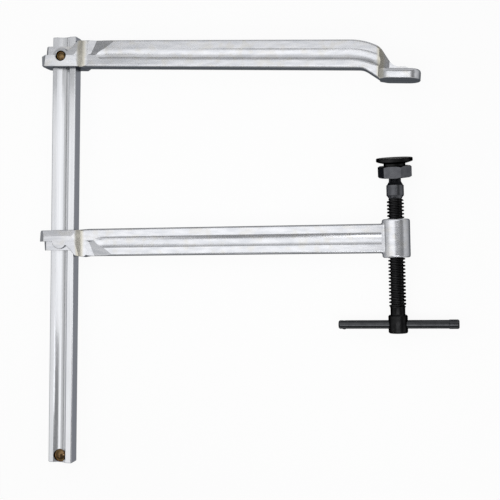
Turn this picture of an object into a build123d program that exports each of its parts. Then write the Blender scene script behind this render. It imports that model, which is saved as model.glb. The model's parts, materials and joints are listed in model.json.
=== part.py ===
from build123d import *
import os
from math import cos, radians, sin, sqrt, tan

# Deep F-clamp lying on its back: +X runs out along the arms, +Y up the rail, +Z up from the surface.
# Everything is built in millimetres in the clamp's own frame, with x = 0 on the rail's inner edge,
# y = 0 on the rail's lower end and z = 0 in the middle plane. The last step moves the origin to the
# centre of the bottom of the whole clamp's box.

# Rail: a drawn flat bar with a round-bottomed groove down each wide face
RAIL_LENGTH = 537.4
RAIL_WIDTH = 31.8
RAIL_DEPTH = 16.0
RAIL_CORNER = 1.6
RAIL_END_BREAK = 0.8
RAIL_GROOVE_WIDTH = 17.0
RAIL_GROOVE_SHIFT = 0.8
RAIL_GROOVE_DEPTH = 2.8

# Stop pin near the rail's lower end, a rivet with a round head at each side
STOP_FROM_END = 8.8
STOP_SHANK_D = 8.0
STOP_HEAD_D = 16.0
STOP_HEAD_RIM = 1.0
STOP_HEAD_DOME = 4.0
STOP_SEAT_DEPTH = 0.4

# Arms: where their centre lines cross the rail's inner edge, and how they lean
THROAT = 400.0
FIXED_ARM_Y = RAIL_LENGTH - 21.6
FIXED_TOE_IN = 2.44
SLIDING_ARM_Y = 277.9
SLIDING_RISE = 1.27

# Forged section of both arms, with the parting line in the middle plane
ARM_HEIGHT = 34.5
ARM_THICKNESS = 20.0
ARM_DRAFT = 6.0
ARM_EDGE_ROUND = 2.2
ARM_GROOVE_WIDTH = 14.0
ARM_GROOVE_DEPTH = 2.4
GROOVE_TIP_U = 29.0
GROOVE_RUNOUT = 11.0
FIXED_GROOVE_W = 1.2
FIXED_TIP_W = 1.8
SLIDING_TIP_W = 2.4

# Forged heads, u along the arm and w across it towards the work
HEAD_THICKNESS = 36.0
FIXED_HEAD_SHIFT = 1.8
HEAD_REAR_WALL = 15.7
HEAD_REAR_NOSE = 12.0
HEAD_REAR_FLAT_U = 4.6
HEAD_REAR_LEAN = 2.2
HEAD_REAR_CORNER = (2.6, 2.2)
HEAD_OUTER_W = 2.0
HEAD_WORK_W = 16.1
HEAD_WORK_LEAN = 0.3
HEAD_FRONT_U = -0.5
NECK_START_U = 5.0
NECK_EDGE_U = 10.0
NECK_END_U = 17.0
NECK_EDGE_W = 15.6
HEAD_END_W = 12.4
FIXED_CREASE_W = 2.3
SLIDING_CREASE_W = 8.2
CREASE_FALL_WORK = 2.6
CREASE_FALL_OUTER = 4.6
LOBE_RADIUS = 9.8
LOBE_W = 2.2
SHOULDER_W = 18.3
SHOULDER_LEAN = 1.2
SHOULDER_U = 12.9
SHOULDER_POINTS = ((-9.9, 2.0), (-14.9, 9.0))
NOTCH_U = -7.6
NOTCH_W = -3.5
HEAD_EDGE_ROUND = 1.0

# Thinner collar round the rail, behind the thick part of each head
COLLAR_THICKNESS = 26.0
COLLAR_OVERLAP = 1.0
COLLAR_REAR_WALL = 10.0
COLLAR_REAR_NOSE = 10.0
COLLAR_REAR_FLAT_U = 3.6
COLLAR_REAR_LEAN = 2.0
COLLAR_OUTER_W = 9.4
COLLAR_FRONT_U = 0.0
COLLAR_FRONT_LEAN = 4.0

# Hollow between the neck and the outer flange: three slopes that fall from the arm's face
FACET_END_U = 50.0
FACET_END_W = -14.0
FACET_TILT = 16.0
FACET_NECK_TILT = 27.0
FACET_CREASE_TILT = 50.0

# Slots for the rail
FIXED_SLOT_GAP = 0.05
SLIDING_SLOT_GAP = 0.12
SLIDING_FACE_GAP = 0.25

# Pin through the fixed head and the rail
PIN_D = 13.0
PIN_W = 4.7
PIN_HOLE_GAP = 0.05
PIN_DOME = 4.0
PIN_RIM_DEPTH = 3.1
PIN_COUNTERSINK = 1.3

# Gooseneck and anvil foot of the fixed arm
GOOSE_START_U = THROAT - 55
NECK_OUTER_RADIUS = 75.0
NECK_OUTER_TURN = 24.4
NECK_KNUCKLE_RADIUS = 14.0
NECK_SLOPE = 55.0
NECK_FOOT_RADIUS = 13.6
NECK_RIB_W = 13.2
NECK_UNDER_START_U = THROAT - 44
NECK_UNDER_RADIUS = 18.0
NECK_UNDER_SLOPE = 32.0
NECK_SIDE_END_U = THROAT - 21
NECK_NOSE_THICKNESS = 9.0
NECK_NOSE_U = THROAT - 9
RIB_END_U = THROAT + 8
RIB_END_RADIUS = 6.0
RIB_END_TURN = 60.0
FOOT_FACE_W = 29.3
FOOT_OVERLAP = 2.0
FOOT_HEEL_INSET = 4.0
FOOT_HEIGHT = 11.6
FOOT_SIDE_HEIGHT = 8.4
FOOT_START_U = THROAT - 20
FOOT_SHOULDER_U = THROAT - 11
FOOT_END_U = THROAT + 27
FOOT_WIDTH = 36.0
FOOT_CORNER = 14.5
FOOT_FLARE_ROUND = 6.0
FOOT_TOP_SLOPE = 50.0
FOOT_EDGE_ROUND = 1.2
FOOT_TOE_ROUND = 3.0
NECK_GROOVE_RADIUS = 80.0
NECK_GROOVE_TURN = 21.0
NECK_GROOVE_TIP = (THROAT - 18, 12.0)

# Threaded boss at the end of the sliding arm
BOSS_D = 32.3
BOSS_LENGTH = 44.6
BOSS_EDGE_ROUND = 2.4
BOSS_LEAN = 0.7
BOSS_JOIN_ROUND = 1.8
THREAD_CREST_D = 19.5
THREAD_ROOT_D = 15.0
BOSS_THREAD_GAP = 0.05
BOSS_BORE_CHAMFER = 1.0

# Spindle, measured along its axis from the boss's middle, + towards the work
BALL_CENTRE_W = 77.3
BALL_D = 18.0
NECK_D = 14.0
NECK_END_W = 65.8
COLLAR_D = 20.0
COLLAR_TOP_W = 61.2
COLLAR_FOOT_W = 48.6
THREAD_TOP_W = 46.0
THREAD_FOOT_W = -80.6
SHANK_D = 17.0
SPINDLE_HEAD_D = 22.3
SPINDLE_HEAD_TOP_W = -88.5
SPINDLE_HEAD_FOOT_W = -109.8
SPINDLE_HEAD_CHAMFER = 1.4
SPINDLE_HEAD_ROUND = 2.0
COLLAR_CHAMFER = 1.0

# T-bar
BAR_D = 10.0
BAR_LENGTH = 138.0
BAR_W = -99.6
BAR_HOLE_GAP = 0.08
BAR_END_ROUND = 2.0
BAR_SWAGE_D = 10.8
BAR_SWAGE_LENGTH = 11.5
STAKE_FROM_END = 6.5
STAKE_WIDTH = 4.2
STAKE_DEPTH = 0.8

# Swivel pad, heights measured from the ball's centre
PAD_TIP = 9.5
CUP_WALL = 3.0
BALL_GAP = 0.06
CUP_GAP = 0.06
PAD_SWING = 14.0
EQUATOR_CLEARANCE = 0.15
RING_SPLIT_GAP = 0.4
RING_NECK_GAP = 0.3
RING_FOOT_H = 6.2
NUT_ACROSS_FLATS = 34.0
NUT_HALF_HEIGHT = 6.7
NUT_TURN = -5.2
NUT_CHAMFER = 2.0
HUB_THREAD_D = 28.0
HUB_NECK_D = 25.0
HUB_GAP = 0.05
HUB_SEAT_H = 0.2
HUB_RELIEF = 1.0
PLATE_D = 42.0
PLATE_UNDER_H = 11.2
PLATE_THICKNESS = 4.8
PLATE_RIM_ROUND = 1.2
PLATE_CONE = 1.8

# Cutters: how long the long ones are, and how far the short ones reach past what they cut
CUT_LENGTH = 200.0
CUT_MARGIN = 2.0
SAME_PLACE = 0.01

rail_half_width = RAIL_WIDTH / 2
rail_axis_u = -rail_half_width - RAIL_GROOVE_SHIFT
rail_half_depth = RAIL_DEPTH / 2
arm_half_height = ARM_HEIGHT / 2
arm_half_thickness = ARM_THICKNESS / 2
head_half = HEAD_THICKNESS / 2
collar_half = COLLAR_THICKNESS / 2
shell_radius = BALL_D / 2 + BALL_GAP + CUP_WALL
equator_gap = shell_radius * tan(radians(PAD_SWING / 2)) + EQUATOR_CLEARANCE


def circle_radius(width, depth):
    """Radius of the arc that is width across and depth deep."""
    return ((width / 2) ** 2 + depth**2) / (2 * depth)


def across_plane(u):
    """Plane square to the arm at u: its x is w and its y is z."""
    return Plane(origin=(u, 0, 0), x_dir=(0, 1, 0), z_dir=(1, 0, 0))


def along_plane(w):
    """Plane square to w: its x is u, its y is z, and a positive extrusion runs away from the work."""
    return Plane(origin=(0, w, 0), x_dir=(1, 0, 0), z_dir=(0, -1, 0))


def both_ways(sketch, half, taper=0.0):
    """Extrude a sketch in the middle plane up and down by half, leaning inwards by taper degrees."""
    upper = extrude(sketch, amount=half, taper=taper)
    return upper + mirror(upper, about=Plane.XY)


def turned(*points):
    """Solid turned about Z from a closed outline of (radius, height) points."""
    outline = Plane.XZ * make_face(Polyline(*points, close=True))
    return revolve(outline, Axis.Z)


def domed_disc(radius, foot_z, rim_z, dome):
    """Disc turned about Z from foot_z up to rim_z, under a spherical cap of this dome height."""
    cap = RadiusArc((0, rim_z + dome), (radius, rim_z), circle_radius(2 * radius, dome))
    side = Polyline((radius, rim_z), (radius, foot_z), (0, foot_z), (0, rim_z + dome))
    return revolve(Plane.XZ * make_face(cap + side), Axis.Z)


def fixed_place():
    """Place of the fixed arm: turned over so that its w points down to the work, then toed in."""
    return Pos(0, FIXED_ARM_Y, 0) * Rot(0, 0, -FIXED_TOE_IN) * Rot(180, 0, 0)


def sliding_place():
    """Place of the sliding arm, rocked up until its head bites on the rail."""
    return Pos(0, SLIDING_ARM_Y, 0) * Rot(0, 0, SLIDING_RISE)


def pin_place():
    """Place of the fixed pin: in the lobe of the fixed head, in line with the rail's groove."""
    lean = radians(FIXED_TOE_IN)
    return Pos(rail_axis_u, FIXED_ARM_Y - PIN_W / cos(lean) - rail_axis_u * tan(lean), 0)


def stop_place():
    """Place of the stop pin near the rail's lower end."""
    return Pos(rail_axis_u, STOP_FROM_END, 0)


def boss_place():
    """Place of the boss's axis: z runs up it towards the work, x out along the arm."""
    return Pos(THROAT, 0, 0) * Rot(0, 0, BOSS_LEAN) * Rot(-90, 0, 0)


def spindle_place():
    """Place of the spindle, in the sliding arm's boss."""
    return sliding_place() * boss_place()


def pad_place():
    """Place of the pad: round the ball's centre, tipped up as it hangs."""
    return spindle_place() * Pos(0, 0, BALL_CENTRE_W) * Rot(PAD_TIP, 0, 0)


def stop_seat_height():
    """Height of the flat seat of the stop pin's head, a little under the groove's bottom."""
    return rail_half_depth - RAIL_GROOVE_DEPTH - STOP_SEAT_DEPTH


def make_rail():
    """Grooved flat bar standing along +Y, with the stop pin's seats and both pin holes."""
    end_plane = Plane(origin=(-rail_half_width, 0, 0), x_dir=(1, 0, 0), z_dir=(0, 1, 0))
    section = fillet(Rectangle(RAIL_WIDTH, RAIL_DEPTH).vertices(), RAIL_CORNER)
    groove_radius = circle_radius(RAIL_GROOVE_WIDTH, RAIL_GROOVE_DEPTH)
    groove_centre = rail_half_depth - RAIL_GROOVE_DEPTH + groove_radius
    section -= Pos(-RAIL_GROOVE_SHIFT, groove_centre) * Circle(groove_radius)
    section -= Pos(-RAIL_GROOVE_SHIFT, -groove_centre) * Circle(groove_radius)
    bar = extrude(end_plane * section, amount=RAIL_LENGTH)
    end_edges = bar.edges().group_by(Axis.Y)
    bar = chamfer(end_edges[0] + end_edges[-1], RAIL_END_BREAK)
    bar -= stop_place() * Cylinder(STOP_SHANK_D / 2, 2 * RAIL_DEPTH)
    seat_radius = STOP_HEAD_D / 2 + PIN_HOLE_GAP
    seat = Pos(0, 0, stop_seat_height() + rail_half_depth) * Cylinder(seat_radius, RAIL_DEPTH)
    bar -= stop_place() * (seat + mirror(seat, about=Plane.XY))
    return bar - pin_place() * Cylinder(PIN_D / 2 + PIN_HOLE_GAP, 2 * RAIL_DEPTH)


def make_stop_pin():
    """Rivet with a round head seated in each groove."""
    seat_z = stop_seat_height()
    head = domed_disc(STOP_HEAD_D / 2, seat_z, seat_z + STOP_HEAD_RIM, STOP_HEAD_DOME)
    shank = Cylinder(STOP_SHANK_D / 2 - PIN_HOLE_GAP, 2 * seat_z)
    return stop_place() * (shank + head + mirror(head, about=Plane.XY))


def make_fixed_pin():
    """Plain pin with a domed end at each side of the head."""
    half = domed_disc(PIN_D / 2, 0, head_half - PIN_RIM_DEPTH, PIN_DOME)
    return pin_place() * (half + mirror(half, about=Plane.XY))


def head_section(crease_w):
    """Section of the thick head across the arm: it falls away to both sides of the crease."""
    upper = [
        (HEAD_WORK_W, 0),
        (HEAD_WORK_W - HEAD_WORK_LEAN, head_half - CREASE_FALL_WORK),
        (crease_w, head_half),
        (-SHOULDER_W + SHOULDER_LEAN, head_half - CREASE_FALL_OUTER),
        (-SHOULDER_W, 0),
    ]
    lower = [(w, -z) for w, z in reversed(upper[1:-1])]
    return make_face(Polyline(*upper, *lower, close=True))


def nose_plan(rear_u, nose, flat_u, half, front_u):
    """Half plan of a head's rear: a blunt nose that slopes out to the parallel faces."""
    return Polyline((rear_u, 0), (rear_u, nose), (flat_u, half), (front_u, half))


def head_plan():
    """Plan of the thick head: a sloping rear nose, parallel faces, and an S down to the arm."""
    rear_u = -RAIL_WIDTH - HEAD_REAR_WALL
    flat_u = -RAIL_WIDTH - HEAD_REAR_FLAT_U
    rear = nose_plan(rear_u, HEAD_REAR_NOSE / 2, flat_u, head_half, HEAD_FRONT_U)
    neck = Spline(
        (HEAD_FRONT_U, head_half),
        ((HEAD_FRONT_U + NECK_END_U) / 2, (head_half + arm_half_thickness) / 2),
        (NECK_END_U, arm_half_thickness),
        tangents=((1, 0), (1, 0)),
    )
    end = Polyline((NECK_END_U, arm_half_thickness), (NECK_END_U, 0), (rear_u, 0))
    half_face = make_face(rear + neck + end)
    return half_face + mirror(half_face, about=Plane.XZ)


def head_outline():
    """Outline of the thick head seen from above: rear block, lobe round the pin and front shoulder."""
    rear_u = -RAIL_WIDTH - HEAD_REAR_WALL
    corner_u, corner_w = HEAD_REAR_CORNER
    shoulder = [(SHOULDER_U + du, -SHOULDER_W + dw) for du, dw in SHOULDER_POINTS]
    block = make_face(
        Polyline(
            (rear_u, HEAD_OUTER_W),
            (rear_u + HEAD_REAR_LEAN, HEAD_WORK_W - corner_w),
            (rear_u + HEAD_REAR_LEAN + corner_u, HEAD_WORK_W),
            (NECK_START_U, HEAD_WORK_W),
            (NECK_EDGE_U, NECK_EDGE_W),
            (NECK_END_U, HEAD_END_W),
            (NECK_END_U, -NECK_EDGE_W),
            (SHOULDER_U, -SHOULDER_W),
            *shoulder,
            (NOTCH_U, NOTCH_W),
            (rail_axis_u, NOTCH_W),
            (rail_axis_u, HEAD_OUTER_W),
            close=True,
        )
    )
    return block + Pos(rail_axis_u, LOBE_W) * Circle(LOBE_RADIUS)


def make_head(crease_w):
    """Thick part of the head: outline, plan and section taken together, as a forging die forms it."""
    from_above = both_ways(head_outline(), HEAD_THICKNESS)
    from_work = extrude(along_plane(ARM_HEIGHT) * head_plan(), amount=2 * ARM_HEIGHT)
    from_end = extrude(across_plane(-CUT_LENGTH) * head_section(crease_w), amount=2 * CUT_LENGTH)
    return from_above & from_work & from_end


def make_collar():
    """Thinner collar round the rail on the side away from the work."""
    rear_u = -RAIL_WIDTH - COLLAR_REAR_WALL
    inner_w = HEAD_OUTER_W + COLLAR_OVERLAP
    outline = make_face(
        Polyline(
            (rear_u, inner_w),
            (rear_u + COLLAR_REAR_LEAN, -COLLAR_OUTER_W),
            (COLLAR_FRONT_U, -COLLAR_OUTER_W),
            (COLLAR_FRONT_U + COLLAR_FRONT_LEAN, inner_w),
            close=True,
        )
    )
    flat_u = -RAIL_WIDTH - COLLAR_REAR_FLAT_U
    rear = nose_plan(rear_u, COLLAR_REAR_NOSE / 2, flat_u, collar_half, SHOULDER_U)
    half_plan = make_face(rear + Polyline((SHOULDER_U, collar_half), (SHOULDER_U, 0), (rear_u, 0)))
    plan = half_plan + mirror(half_plan, about=Plane.XZ)
    from_work = extrude(along_plane(ARM_HEIGHT) * plan, amount=2 * ARM_HEIGHT)
    return both_ways(outline, COLLAR_THICKNESS) & from_work


def above_slope(top, along, tilt):
    """Space above a slope that starts at the line through top and falls to the right of along."""
    downhill = Vector(along.Y, -along.X, 0)
    fall = downhill * cos(radians(tilt)) - Vector(0, 0, sin(radians(tilt)))
    slope = Plane(origin=top, x_dir=along * -1, z_dir=fall.cross(along))
    space = Box(CUT_LENGTH, 2 * ARM_HEIGHT, 2 * ARM_THICKNESS)
    return slope * Pos(0, ARM_HEIGHT, ARM_THICKNESS) * space


def facet_cutter(tip_w):
    """Cutter for the hollow on both faces: it falls outwards, from the neck and from the crease."""
    inner = Vector(GROOVE_TIP_U, tip_w, arm_half_thickness)
    neck = Vector(NECK_END_U, tip_w, arm_half_thickness)
    along = (Vector(FACET_END_U, FACET_END_W, arm_half_thickness) - inner).normalized()
    cutter = above_slope(inner, along, FACET_TILT)
    cutter = cutter & above_slope(neck, Vector(0, 1, 0), FACET_NECK_TILT)
    cutter = cutter & above_slope(inner, Vector(1, 0, 0), FACET_CREASE_TILT)
    return cutter + mirror(cutter, about=Plane.XY)


def forged_bar(outline):
    """Arm body from its side outline: drafted from the parting line, with rounded flange edges."""
    bar = both_ways(outline, arm_half_thickness, ARM_DRAFT)
    faces = bar.edges().group_by(Axis.Z)
    return fillet(faces[0] + faces[-1], ARM_EDGE_ROUND)


def groove_runout(start, tip):
    """Cutter for a groove's end: it rises from full depth at start to the arm's face at tip."""
    radius = circle_radius(ARM_GROOVE_WIDTH, ARM_GROOVE_DEPTH)
    bottom = Vector(*start, arm_half_thickness - ARM_GROOVE_DEPTH + radius)
    rise = Vector(*tip, bottom.Z + ARM_GROOVE_DEPTH) - bottom
    section = Plane(origin=bottom, z_dir=rise) * Circle(radius)
    return extrude(section, amount=rise.length) + Pos(bottom) * Sphere(radius)


def groove_cutter(end_u, groove_w, tip_w, bend=False):
    """Round-bottomed groove on both faces, running out at the head and, if asked, in the gooseneck."""
    radius = circle_radius(ARM_GROOVE_WIDTH, ARM_GROOVE_DEPTH)
    centre_z = arm_half_thickness - ARM_GROOVE_DEPTH + radius
    full_u = GROOVE_TIP_U + GROOVE_RUNOUT
    section = Pos(groove_w, centre_z) * Circle(radius)
    cutter = groove_runout((full_u, groove_w), (GROOVE_TIP_U, tip_w))
    cutter += extrude(across_plane(full_u) * section, amount=end_u - full_u)
    if bend:
        turn = radians(NECK_GROOVE_TURN)
        turn_axis = Axis((end_u, groove_w + NECK_GROOVE_RADIUS, 0), (0, 0, 1))
        cutter += revolve(across_plane(end_u) * section, turn_axis, NECK_GROOVE_TURN)
        turn_end_u = end_u + NECK_GROOVE_RADIUS * sin(turn)
        turn_end_w = groove_w + NECK_GROOVE_RADIUS * (1 - cos(turn))
        cutter += groove_runout((turn_end_u, turn_end_w), NECK_GROOVE_TIP)
    return cutter + mirror(cutter, about=Plane.XY)


def gooseneck_outline():
    """Side outline of the fixed arm's body, from the head round the gooseneck to the foot's rib."""
    outer = -arm_half_height
    top = Line((HEAD_FRONT_U, outer), (GOOSE_START_U, outer))
    shoulder = JernArc(top @ 1, (1, 0), NECK_OUTER_RADIUS, NECK_OUTER_TURN)
    knuckle = JernArc(shoulder @ 1, shoulder % 1, NECK_KNUCKLE_RADIUS, NECK_SLOPE - NECK_OUTER_TURN)
    slope = radians(NECK_SLOPE)
    drop = NECK_RIB_W - NECK_FOOT_RADIUS * (1 - cos(slope)) - (knuckle @ 1).Y
    fall = Line(knuckle @ 1, (knuckle @ 1) + (knuckle % 1) * (drop / sin(slope)))
    sweep_out = JernArc(fall @ 1, fall % 1, NECK_FOOT_RADIUS, -NECK_SLOPE)
    rib = Line(sweep_out @ 1, (RIB_END_U, NECK_RIB_W))
    rib_end = JernArc(rib @ 1, (1, 0), RIB_END_RADIUS, RIB_END_TURN)
    inside_w = FOOT_FACE_W - FOOT_OVERLAP
    under = radians(NECK_UNDER_SLOPE)
    bend_start = (NECK_UNDER_START_U, arm_half_height)
    bend = JernArc(bend_start, (1, 0), NECK_UNDER_RADIUS, NECK_UNDER_SLOPE)
    run = (FOOT_FACE_W - (bend @ 1).Y) / sin(under)
    heel = (bend @ 1) + (bend % 1) * run
    closing = Polyline(
        rib_end @ 1,
        (RIB_END_U + RIB_END_RADIUS, inside_w),
        (heel.X + FOOT_HEEL_INSET, inside_w),
        heel,
        bend @ 1,
    )
    belly = Line(bend @ 0, (HEAD_FRONT_U, arm_half_height))
    back = Line(belly @ 1, top @ 0)
    outer_side = top + shoulder + knuckle + fall + sweep_out + rib + rib_end
    return make_face(outer_side + closing + bend + belly + back)


def neck_noses():
    """Two cutters that bevel the gooseneck beyond its side faces, down to the rib's thickness."""
    half_nose = NECK_NOSE_THICKNESS / 2
    reach = RIB_END_U + RIB_END_RADIUS + CUT_MARGIN
    plan = Polyline(
        (NECK_SIDE_END_U, arm_half_thickness),
        (NECK_NOSE_U, half_nose),
        (reach, half_nose),
        (reach, arm_half_thickness + CUT_MARGIN),
        (NECK_SIDE_END_U, arm_half_thickness + CUT_MARGIN),
        close=True,
    )
    cutter = extrude(along_plane(CUT_LENGTH / 2) * make_face(plan), amount=CUT_LENGTH)
    return cutter + mirror(cutter, about=Plane.XY)


def make_foot():
    """Anvil foot: a flat-faced pad with a flared heel, a rounded toe and a sloping top."""
    half = FOOT_WIDTH / 2
    shape = make_face(
        Polyline(
            (FOOT_START_U, -arm_half_thickness),
            (FOOT_SHOULDER_U, -half),
            (FOOT_END_U, -half),
            (FOOT_END_U, half),
            (FOOT_SHOULDER_U, half),
            (FOOT_START_U, arm_half_thickness),
            close=True,
        )
    )
    toe = shape.vertices().group_by(Axis.X)[-1]
    shape = fillet(toe, FOOT_CORNER)
    flare = [v for v in shape.vertices() if abs(v.X - FOOT_SHOULDER_U) < SAME_PLACE]
    shape = fillet(flare, FOOT_FLARE_ROUND)
    crown = half - (FOOT_HEIGHT - FOOT_SIDE_HEIGHT) * tan(radians(FOOT_TOP_SLOPE))
    side_w = FOOT_FACE_W - FOOT_SIDE_HEIGHT
    top_w = FOOT_FACE_W - FOOT_HEIGHT
    section = make_face(
        Polyline(
            (FOOT_FACE_W, -half),
            (side_w, -half),
            (top_w, -crown),
            (top_w, crown),
            (side_w, half),
            (FOOT_FACE_W, half),
            close=True,
        )
    )
    pad = extrude(along_plane(FOOT_FACE_W) * shape, amount=FOOT_HEIGHT)
    pad = pad & extrude(across_plane(0) * section, amount=FOOT_END_U + CUT_MARGIN)
    face_edges = pad.edges().group_by(Axis.Y)[-1]
    pad = fillet(face_edges, FOOT_EDGE_ROUND)
    beyond_corner = [e for e in pad.edges() if e.center().X > FOOT_END_U - FOOT_CORNER]
    toe_line = [e for e in beyond_corner if e.center().Y < side_w + SAME_PLACE]
    return fillet(toe_line, FOOT_TOE_ROUND)


def rail_slot(half_width_gap, half_depth_gap):
    """Cutter for a head's slot, in the rail's own place."""
    slot = Box(RAIL_WIDTH + 2 * half_width_gap, CUT_LENGTH, RAIL_DEPTH + 2 * half_depth_gap)
    return Pos(-rail_half_width, 0, 0) * slot


def forged_head(crease_w):
    """Head of either arm: thick block and collar, with the edges of its raised faces rounded."""
    head = make_head(crease_w)
    raised = [e for e in head.edges() if abs(e.center().Z) > arm_half_thickness + CUT_MARGIN]
    lobe = [e for e in raised if e.geom_type == GeomType.ELLIPSE]
    lines = [e for e in raised if e.geom_type == GeomType.LINE and e.length > HEAD_EDGE_ROUND]
    notch = [e for e in lines if e.center().X < SHOULDER_U + NOTCH_W and e.center().Y < -CUT_MARGIN]
    work_side = [e for e in lines if e.center().X < 0 and e.center().Y > HEAD_END_W]
    return fillet(lobe + notch + work_side, HEAD_EDGE_ROUND) + make_collar()


def make_fixed_arm():
    """Upper arm: head, I-section arm, gooseneck and anvil foot in one forging, slotted and drilled."""
    blank = forged_bar(gooseneck_outline()) - neck_noses() + make_foot()
    blank -= facet_cutter(FIXED_TIP_W)
    blank += Pos(0, FIXED_HEAD_SHIFT, 0) * forged_head(FIXED_CREASE_W)
    blank -= groove_cutter(GOOSE_START_U, FIXED_GROOVE_W, FIXED_TIP_W, bend=True)
    blank = fixed_place() * blank
    blank -= Pos(0, FIXED_ARM_Y, 0) * rail_slot(FIXED_SLOT_GAP, FIXED_SLOT_GAP)
    hole = Cylinder(PIN_D / 2 + PIN_HOLE_GAP, 2 * HEAD_THICKNESS)
    mouth_foot = PIN_D / 2 - PIN_COUNTERSINK
    mouth = Cone(mouth_foot, mouth_foot + 4 * PIN_COUNTERSINK, 4 * PIN_COUNTERSINK)
    mouth = Pos(0, 0, head_half) * mouth
    return blank - pin_place() * (hole + mouth + mirror(mouth, about=Plane.XY))


def sliding_slot():
    """Slot of the sliding head, wide enough for the arm to rock and bite on the rail's two edges."""
    rise = radians(SLIDING_RISE)
    engaged = HEAD_WORK_W + COLLAR_OUTER_W
    half_width = (RAIL_WIDTH * cos(rise) + engaged * sin(rise)) / 2 + SLIDING_SLOT_GAP
    middle_w = (HEAD_WORK_W - COLLAR_OUTER_W) / 2
    slot = Box(2 * half_width, CUT_LENGTH, RAIL_DEPTH + 2 * SLIDING_FACE_GAP)
    return Pos(-rail_half_width * cos(rise) + middle_w * sin(rise), middle_w, 0) * slot


def make_sliding_arm():
    """Lower arm: head, I-section arm and bored boss in one forging."""
    outline = make_face(
        Polyline(
            (HEAD_FRONT_U, -arm_half_height),
            (THROAT - BOSS_D / 4, -arm_half_height),
            (THROAT - BOSS_D / 4, arm_half_height),
            (NECK_END_U, arm_half_height),
            (HEAD_FRONT_U, HEAD_WORK_W),
            close=True,
        )
    )
    boss = boss_place() * fillet(Cylinder(BOSS_D / 2, BOSS_LENGTH).edges(), BOSS_EDGE_ROUND)
    arm = forged_bar(outline) + boss
    inside_u = THROAT - BOSS_D / 2 - BOSS_JOIN_ROUND
    by_boss = [e for e in arm.edges() if inside_u < e.center().X < THROAT - BOSS_D / 4]
    seam = [e for e in by_boss if abs(e.center().Y) < arm_half_height]
    arm = fillet(seam, BOSS_JOIN_ROUND)
    blank = arm - facet_cutter(SLIDING_TIP_W) + forged_head(SLIDING_CREASE_W)
    blank -= groove_cutter(THROAT - BOSS_D / 2, 0, SLIDING_TIP_W)
    bore_radius = THREAD_CREST_D / 2 + BOSS_THREAD_GAP
    half = BOSS_LENGTH / 2
    flare = bore_radius + BOSS_BORE_CHAMFER
    bore = turned(
        (0, -half - CUT_MARGIN),
        (flare, -half - CUT_MARGIN),
        (flare, -half),
        (bore_radius, -half + BOSS_BORE_CHAMFER),
        (bore_radius, half - BOSS_BORE_CHAMFER),
        (flare, half),
        (flare, half + CUT_MARGIN),
        (0, half + CUT_MARGIN),
    )
    return sliding_place() * (blank - boss_place() * bore - sliding_slot())


def make_spindle():
    """Turned screw: ball, neck, collar, threaded length, shank and cross-drilled head."""
    neck = NECK_D / 2
    collar = COLLAR_D / 2
    crest = THREAD_CREST_D / 2
    root = THREAD_ROOT_D / 2
    shank = SHANK_D / 2
    knob = SPINDLE_HEAD_D / 2
    turn_in = crest - root
    body = turned(
        (0, BALL_CENTRE_W),
        (neck, BALL_CENTRE_W),
        (neck, NECK_END_W),
        (collar - COLLAR_CHAMFER, COLLAR_TOP_W + COLLAR_CHAMFER),
        (collar, COLLAR_TOP_W),
        (collar, COLLAR_FOOT_W + COLLAR_CHAMFER),
        (collar - COLLAR_CHAMFER, COLLAR_FOOT_W),
        (root, THREAD_TOP_W),
        (crest, THREAD_TOP_W - turn_in),
        (crest, THREAD_FOOT_W + turn_in),
        (shank, THREAD_FOOT_W),
        (shank, SPINDLE_HEAD_TOP_W),
        (knob - SPINDLE_HEAD_CHAMFER, SPINDLE_HEAD_TOP_W),
        (knob, SPINDLE_HEAD_TOP_W - SPINDLE_HEAD_CHAMFER),
        (knob, SPINDLE_HEAD_FOOT_W),
        (0, SPINDLE_HEAD_FOOT_W),
    )
    foot = body.edges().group_by(Axis.Z)[0]
    body = fillet(foot, SPINDLE_HEAD_ROUND)
    body = body + Pos(0, 0, BALL_CENTRE_W) * Sphere(BALL_D / 2)
    cross = Pos(0, 0, BAR_W) * Rot(0, 90, 0) * Cylinder(BAR_D / 2 + BAR_HOLE_GAP, 2 * SPINDLE_HEAD_D)
    return spindle_place() * (body - cross)


def make_tommy_bar():
    """Round sliding bar: swaged thicker at one end, staked near the other, so that it can't come out."""
    half = BAR_LENGTH / 2
    radius = BAR_D / 2
    swage = BAR_SWAGE_D / 2
    bar = turned(
        (0, -half),
        (radius, -half),
        (radius, half - BAR_SWAGE_LENGTH),
        (swage, half - BAR_SWAGE_LENGTH + swage - radius),
        (swage, half),
        (0, half),
    )
    ends = bar.edges().group_by(Axis.Z)
    bar = fillet(ends[0] + ends[-1], BAR_END_ROUND)
    punch = circle_radius(STAKE_WIDTH, STAKE_DEPTH)
    stake_z = -half + STAKE_FROM_END
    bar += Pos(radius + STAKE_DEPTH - punch, 0, stake_z) * Sphere(punch)
    bar -= Pos(-radius + STAKE_DEPTH - punch, 0, stake_z) * Sphere(punch)
    return spindle_place() * Pos(0, 0, BAR_W) * Rot(0, 90, 0) * bar


def spherical_shell():
    """Hollow ball between the spindle's ball and the pad's socket."""
    return Sphere(shell_radius) - Sphere(shell_radius - CUP_WALL)


def make_retaining_halves():
    """Split ring behind the ball, as its left and right halves."""
    reach = BALL_D + 2 * CUP_WALL
    slab_height = RING_FOOT_H - equator_gap
    slab = Pos(0, 0, -equator_gap - slab_height / 2) * Box(2 * reach, 2 * reach, slab_height)
    ring = (spherical_shell() & slab) - Cylinder(NECK_D / 2 + RING_NECK_GAP, 4 * reach)
    side = Pos(-reach - RING_SPLIT_GAP / 2, 0, 0) * Box(2 * reach, 4 * reach, 4 * reach)
    left = ring & side
    place = spindle_place() * Pos(0, 0, BALL_CENTRE_W)
    return place * left, place * mirror(left, about=Plane.YZ)


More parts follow.
